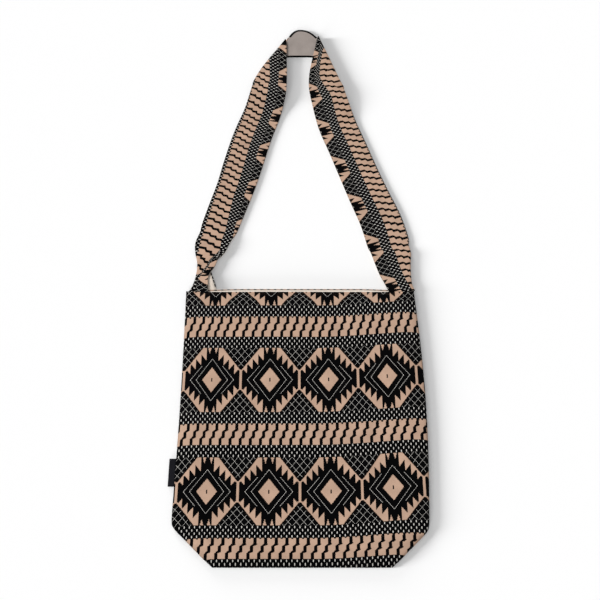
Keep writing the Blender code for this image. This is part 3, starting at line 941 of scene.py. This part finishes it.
def cloth_material(name, roughness):
    """A Principled material, its graph, its shader node and its cloth map."""
    material = bpy.data.materials.new(name)
    material.use_nodes = True
    g = Graph(material.node_tree)
    shader = material.node_tree.nodes["Principled BSDF"]
    shader.inputs["Roughness"].default_value = roughness
    shader.inputs["Specular IOR Level"].default_value = 0.04
    cloth = g.node("ShaderNodeUVMap", uv_map="cloth").outputs[0]
    return material, g, shader, cloth


def grouped(g, group, **inputs):
    """The outputs of a node group, fed by the names of its inputs."""
    made = g.node("ShaderNodeGroup", node_tree=group)
    for name, value in inputs.items():
        g.feed(made.inputs[name], value)
    return made.outputs


def yarn(g, cloth, colour, amount):
    """The colour of a yarn, varied by an amount."""
    return grouped(g, yarn_group(), Cloth=cloth, Colour=(*colour, 1.0), Amount=amount)["Colour"]


def add_bump(g, shader, height, distance, strength):
    bump = g.node("ShaderNodeBump")
    bump.inputs["Distance"].default_value = distance
    bump.inputs["Strength"].default_value = strength
    g.feed(bump.inputs["Height"], height)
    g.feed(shader.inputs["Normal"], bump.outputs[0])


def jacquard_material(colours):
    name = "jacquard weave"
    if name in bpy.data.materials:
        return bpy.data.materials[name]
    material, g, shader, cloth = cloth_material(name, 0.9)
    figure = grouped(g, woven_figure_group(), Cloth=cloth)
    colour = yarn(g, cloth, colours.ground, 0.9)
    colour = g.mix(figure["Beige"], colour, yarn(g, cloth, colours.beige, 0.6))
    colour = g.mix(figure["Light"], colour, yarn(g, cloth, colours.light, 0.5))
    g.feed(shader.inputs["Base Color"], colour)
    add_bump(g, shader, figure["Height"], distance=0.0002, strength=0.8)
    return material


def cotton_material(colours):
    """Undyed cotton with painted shade: it is blended to a darker grey-brown towards the band's
    top, where the band lies on the shoulder.
    """
    name = "lining cotton"
    if name in bpy.data.materials:
        return bpy.data.materials[name]
    material, g, shader, cloth = cloth_material(name, 0.95)
    weave = grouped(g, plain_weave_group(), Cloth=cloth, Pitch=0.0006)
    place = g.parts(g.node("ShaderNodeTexCoord").outputs["Object"])
    # Painted shade: above the mouth the cotton blends into the darker shade colour, all the way to
    # the band's top
    near = g.node("ShaderNodeMapRange", interpolation_type="SMOOTHSTEP")
    near.inputs["From Min"].default_value = MOUTH + 0.15
    near.inputs["From Max"].default_value = BAND_TOP - BAND_WIDTH
    g.feed(near.inputs["Value"], place[1])
    colour = g.mix(near.outputs[0], yarn(g, cloth, colours.cotton, 0.3),
                   yarn(g, cloth, colours.painted_shade, 0.5))
    g.feed(shader.inputs["Base Color"], colour)
    add_bump(g, shader, weave["Height"], distance=0.00012, strength=0.6)
    return material


def ribbon_material(colours):
    material, g, shader, cloth = cloth_material("label ribbon", 0.6)
    weave = grouped(g, plain_weave_group(), Cloth=cloth, Pitch=0.00035)
    g.feed(shader.inputs["Base Color"], yarn(g, cloth, colours.ribbon, 0.6))
    add_bump(g, shader, weave["Height"], distance=0.0001, strength=0.6)
    return material


def thread_material(colours):
    material, g, shader, cloth = cloth_material("sewing thread", 0.7)
    place = g.node("ShaderNodeTexCoord").outputs["Object"]
    g.feed(shader.inputs["Base Color"], yarn(g, place, colours.thread, 0.5))
    return material


def settle(piece, node):
    """A piece that rides on the bag's one body and stands for a node of the model."""
    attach(piece, "root")
    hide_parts(node)


class CARRYALL_OT_panels(bpy.types.Operator):
    """Makes the front and back panels of jacquard"""
    bl_idname = "carryall.panels"
    bl_label = "Make Panels"

    def execute(self, context):
        sizes = context.scene.bag_sizes
        jacquard = jacquard_material(context.scene.bag_colours)
        points, cloth = front_surface(sizes, sizes.grid)
        front = sheet_object("front_cloth", points, cloth, jacquard, JACQUARD, 1.0)
        settle(front, "front_panel")
        points, cloth = back_surface(sizes.grid * 1.6)
        back = sheet_object("back_cloth", points, cloth, jacquard, JACQUARD, 1.0)
        settle(back, "back_panel")
        return {"FINISHED"}


class CARRYALL_OT_linings(bpy.types.Operator):
    """Makes the cotton linings inside the two panels"""
    bl_idname = "carryall.linings"
    bl_label = "Make Linings"

    def execute(self, context):
        sizes = context.scene.bag_sizes
        cotton = cotton_material(context.scene.bag_colours)
        for name, node, front in (("lining_front_cloth", "lining_front", True),
                                  ("lining_back_cloth", "lining_back", False)):
            points, cloth = lining_surface(sizes, sizes.grid * 2, front)
            piece = sheet_object(name, points, cloth, cotton, LINING, 1.0)
            settle(piece, node)
        return {"FINISHED"}


class CARRYALL_OT_band(bpy.types.Operator):
    """Makes the shoulder band: its jacquard face and its cotton lining"""
    bl_idname = "carryall.band"
    bl_label = "Make Band"

    def execute(self, context):
        colours = context.scene.bag_colours
        points, cloth = band_surface()
        normal = surface_normals(points)
        face = sheet_object("band_cloth", points + normal * CLEAR / 2, cloth,
                            jacquard_material(colours), JACQUARD, 1.0)
        settle(face, "strap_face")
        inside = sheet_object("band_lining_cloth", points - normal * CLEAR / 2, cloth,
                              cotton_material(colours), LINING, -1.0)
        settle(inside, "strap_lining")
        return {"FINISHED"}


def add_hem(name, edge, colours, order=1):
    """A turned edge of jacquard on one of the sheets; an order of -1 faces it the other way."""
    points, cloth = edge
    hem = sheet_object(name, points[:, ::order], cloth[:, ::order], jacquard_material(colours),
                       HEM_CLOTH, 1.0)
    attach(hem, "root")


class CARRYALL_OT_hems(bpy.types.Operator):
    """Makes the turned edges of the band's top and left end and of the back of the mouth"""
    bl_idname = "carryall.hems"
    bl_label = "Make Hems"

    def execute(self, context):
        colours = context.scene.bag_colours
        points, cloth = band_surface()
        lining_side = -surface_normals(points)
        inwards = np.gradient(points, axis=1)
        inwards /= np.linalg.norm(inwards, axis=2)[:, :, None]
        low = points[:, BAND_LINE, 2] < JACQUARD + CLEAR
        middle = len(points) // 2
        first = middle - int(np.argmin(low[:middle][::-1]))
        last = middle + int(np.argmin(low[middle:]))
        top = slice(first, last)
        arch = slice(first + int(np.argmax(lining_side[top, -1, 2] > 0.9)), last)
        rim = np.gradient(points[arch, -1], axis=0)
        rim /= np.linalg.norm(rim, axis=1)[:, None]
        under = np.cross(rim, lining_side[arch, -1])
        upper = turned_edge(points[arch, -1], under, lining_side[arch, -1], *TOP_HEM_CLOTH,
                            1.2 * HEM_REACH)
        lower = turned_edge(points[top, 0], inwards[top, 0], lining_side[top, 0],
                            *TOP_HEM_CLOTH, HEM_REACH / 3)
        end = LEFT_HEM_ROWS
        left = turned_edge(points[end, 0], inwards[end, 0], lining_side[end, 0],
                           cloth[end, 0, 0], LEFT_HEM_CLOTH, HEM_REACH / 2)
        x = np.linspace(MOUTH_HEM_ENDS - HALF_WIDTH, HALF_WIDTH - MOUTH_HEM_ENDS, 160)
        edge = np.stack([x, back_mouth(x), 0 * x + JACQUARD + CLEAR / 2], axis=-1)
        down = np.array([[0.0, -1.0, 0.0]])
        above = np.array([[0.0, 0.0, 1.0]])
        mouth = turned_edge(edge, down, above, MOUTH_HEM_EASE * x, MOUTH_HEM_CLOTH,
                            HEM_REACH / 4)
        add_hem("band_hem_upper", upper, colours)
        add_hem("band_hem_lower", lower, colours, order=-1)
        add_hem("band_hem_left", left, colours, order=-1)
        add_hem("mouth_hem", mouth, colours)
        return {"FINISHED"}


class CARRYALL_OT_label(bpy.types.Operator):
    """Makes the folded ribbon that stands out of the left side seam"""
    bl_idname = "carryall.label"
    bl_label = "Make Label"

    def execute(self, context):
        low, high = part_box("side_label")
        level = (low[2] + high[2]) / 2
        bend = (high[2] - low[2] - RIBBON) / 2
        angle = np.linspace(0.0, math.pi, 9)
        run = np.linspace(high[0], low[0] + bend, 6)
        x = np.concatenate([run, low[0] + bend - bend * np.sin(angle[1:-1]), run[::-1]])
        z = np.concatenate([0 * run - bend, -bend * np.cos(angle[1:-1]), 0 * run + bend]) + level
        y = np.linspace(low[1], high[1], 30)[:, None]
        points = np.stack([x[None] + 0 * y, y + 0 * x[None], z[None] + 0 * y], axis=-1)
        along = np.concatenate([[0.0], np.cumsum(np.hypot(np.diff(x), np.diff(z)))])
        cloth = np.stack([along[None] + 0 * y, y + 0 * along[None]], axis=-1)
        piece = sheet_object("label_ribbon", points, cloth,
                             ribbon_material(context.scene.bag_colours), RIBBON, 0.0)
        settle(piece, "side_label")
        return {"FINISHED"}


class CARRYALL_OT_stitches(bpy.types.Operator):
    """Makes the row of stitches under the front edge of the mouth"""
    bl_idname = "carryall.stitches"
    bl_label = "Make Stitches"

    def execute(self, context):
        sizes = context.scene.bag_sizes
        end = HALF_WIDTH - STITCH_ENDS
        count = int(2 * end / (sizes.stitch * STITCH_PITCH))
        start = np.linspace(-end, end, count)
        ring = np.linspace(0.0, 2 * math.pi, 7)[:-1]
        along = np.array([-1.0, -0.8, 0.0, 0.8, 1.0]) * sizes.stitch / 2
        thick = np.array([0.15, 0.8, 1.0, 0.8, 0.15]) * sizes.thread
        x = start[:, None, None] + along[:, None] + 0 * ring
        y = MOUTH - STITCH_LINE + thick[:, None] * np.cos(ring) + 0 * x
        sunk = np.array([-1.2, 0.1, 0.6, 0.1, -1.2]) * sizes.thread
        z = front_height(sizes, x, y) + JACQUARD + sunk[:, None] + thick[:, None] * np.sin(ring)
        y = stretch_to_mouth(y, front_mouth(x))
        points = np.stack([bulge(x, y), y, z], axis=-1).reshape(-1, 3)
        index = np.arange(x.size).reshape(x.shape)
        beside = np.roll(index, -1, axis=2)
        quads = np.stack([index[:, :-1], index[:, 1:], beside[:, 1:], beside[:, :-1]], axis=-1)
        quads = quads.reshape(-1, 4)
        caps = index[:, 0].tolist() + index[:, -1, ::-1].tolist()
        mesh = bpy.data.meshes.new("mouth_stitches")
        mesh.from_pydata(points.tolist(), [], quads.tolist() + caps)
        mesh.shade_smooth()
        mesh.materials.append(thread_material(context.scene.bag_colours))
        piece = bpy.data.objects.new("mouth_stitches", mesh)
        context.scene.collection.objects.link(piece)
        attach(piece, "root")
        return {"FINISHED"}


def floor_material():
    """A pale matt floor that keeps its shadows; a camera sees it a little brighter."""
    material = bpy.data.materials.new("floor")
    material.use_nodes = True
    tree = material.node_tree
    g = Graph(tree)
    tree.nodes.remove(tree.nodes["Principled BSDF"])
    diffuse = g.node("ShaderNodeBsdfDiffuse")
    diffuse.inputs["Color"].default_value = (0.8, 0.8, 0.8, 1.0)
    glow = g.node("ShaderNodeEmission")
    seen = Field(g.node("ShaderNodeLightPath").outputs["Is Camera Ray"])
    g.feed(glow.inputs["Strength"], seen * FLOOR_GLOW)
    both = g.node("ShaderNodeAddShader")
    g.feed(both.inputs[0], diffuse.outputs[0])
    g.feed(both.inputs[1], glow.outputs[0])
    output = tree.nodes["Material Output"]
    g.feed(output.inputs["Surface"], both.outputs[0])
    return material


def soft_sun(name, towards, strength, angle, floor, on_floor):
    """A wide sun that shines along a direction, on the floor alone or on all the rest."""
    light = bpy.data.lights.new(name, "SUN")
    light.energy = strength
    light.angle = math.radians(angle)
    lamp = bpy.data.objects.new(name, light)
    bpy.context.scene.collection.objects.link(lamp)
    x, y, z = towards
    lamp.rotation_euler = (math.atan2(math.hypot(x, y), -z), 0.0, math.atan2(y, x) - math.pi / 2)
    lit = bpy.data.collections.new(name + " receivers")
    lit.objects.link(floor)
    lit.collection_objects[0].light_linking.link_state = "INCLUDE" if on_floor else "EXCLUDE"
    lamp.light_linking.receiver_collection = lit


class CARRYALL_OT_stage(bpy.types.Operator):
    """Makes the floor, the soft lights and the camera"""
    bl_idname = "carryall.stage"
    bl_label = "Make Stage"

    def execute(self, context):
        scene = context.scene
        mesh = bpy.data.meshes.new("floor")
        corners = [(FLOOR_REACH * x, FLOOR_REACH * y, FLOOR_LEVEL)
                   for x, y in ((-1, -1), (1, -1), (1, 1), (-1, 1))]
        mesh.from_pydata(corners, [], [(0, 1, 2, 3)])
        mesh.materials.append(floor_material())
        floor = bpy.data.objects.new("floor", mesh)
        scene.collection.objects.link(floor)
        soft_sun("key", (0.55, -0.45, -1.00), 2.35, 26.0, floor, False)
        soft_sun("low left", (0.97, 0.10, -0.225), 7.0, 15.0, floor, True)
        soft_sun("low front", (0.35, 0.92, -0.20), 1.7, 15.0, floor, True)
        soft_sun("low back", (0.35, -0.92, -0.20), 1.4, 15.0, floor, True)
        world = bpy.data.worlds.new("soft sky")
        scene.world = world
        world.use_nodes = True
        sky = world.node_tree.nodes["Background"]
        sky.inputs["Color"].default_value = (1, 1, 1, 1)
        sky.inputs["Strength"].default_value = 0.40
        lens = bpy.data.cameras.new("camera")
        lens.sensor_width = 36.0
        lens.lens = FOCAL_PIXELS / PICTURE * lens.sensor_width
        camera = bpy.data.objects.new("camera", lens)
        scene.collection.objects.link(camera)
        camera.location = (CAMERA_AIM[0], CAMERA_AIM[1] - CAMERA_REACH * math.sin(CAMERA_TILT),
                           CAMERA_REACH * math.cos(CAMERA_TILT))
        camera.rotation_euler = (CAMERA_TILT, 0.0, 0.0)
        scene.camera = camera
        scene.view_settings.view_transform = "Standard"
        return {"FINISHED"}


OPERATORS = (CARRYALL_OT_panels, CARRYALL_OT_linings, CARRYALL_OT_band, CARRYALL_OT_hems,
             CARRYALL_OT_label, CARRYALL_OT_stitches, CARRYALL_OT_stage)


class CARRYALL_PT_tools(bpy.types.Panel):
    """Lists the operators that make the bag"""
    bl_idname = "CARRYALL_PT_tools"
    bl_label = "Carryall Bag"
    bl_space_type = "VIEW_3D"
    bl_region_type = "UI"
    bl_category = "Carryall"

    def draw(self, context):
        for operator in OPERATORS:
            self.layout.operator(operator.bl_idname)


CLASSES = (BagSizes, BagColours) + OPERATORS + (CARRYALL_PT_tools,)


def register():
    for made in CLASSES:
        bpy.utils.register_class(made)
    bpy.types.Scene.bag_sizes = bpy.props.PointerProperty(type=BagSizes)
    bpy.types.Scene.bag_colours = bpy.props.PointerProperty(type=BagColours)


def unregister():
    del bpy.types.Scene.bag_colours
    del bpy.types.Scene.bag_sizes
    for made in reversed(CLASSES):
        bpy.utils.unregister_class(made)


def main():
    register()
    bpy.ops.carryall.panels()
    bpy.ops.carryall.linings()
    bpy.ops.carryall.band()
    bpy.ops.carryall.hems()
    bpy.ops.carryall.label()
    bpy.ops.carryall.stitches()
    bpy.ops.carryall.stage()


if __name__ == "__main__":
    main()
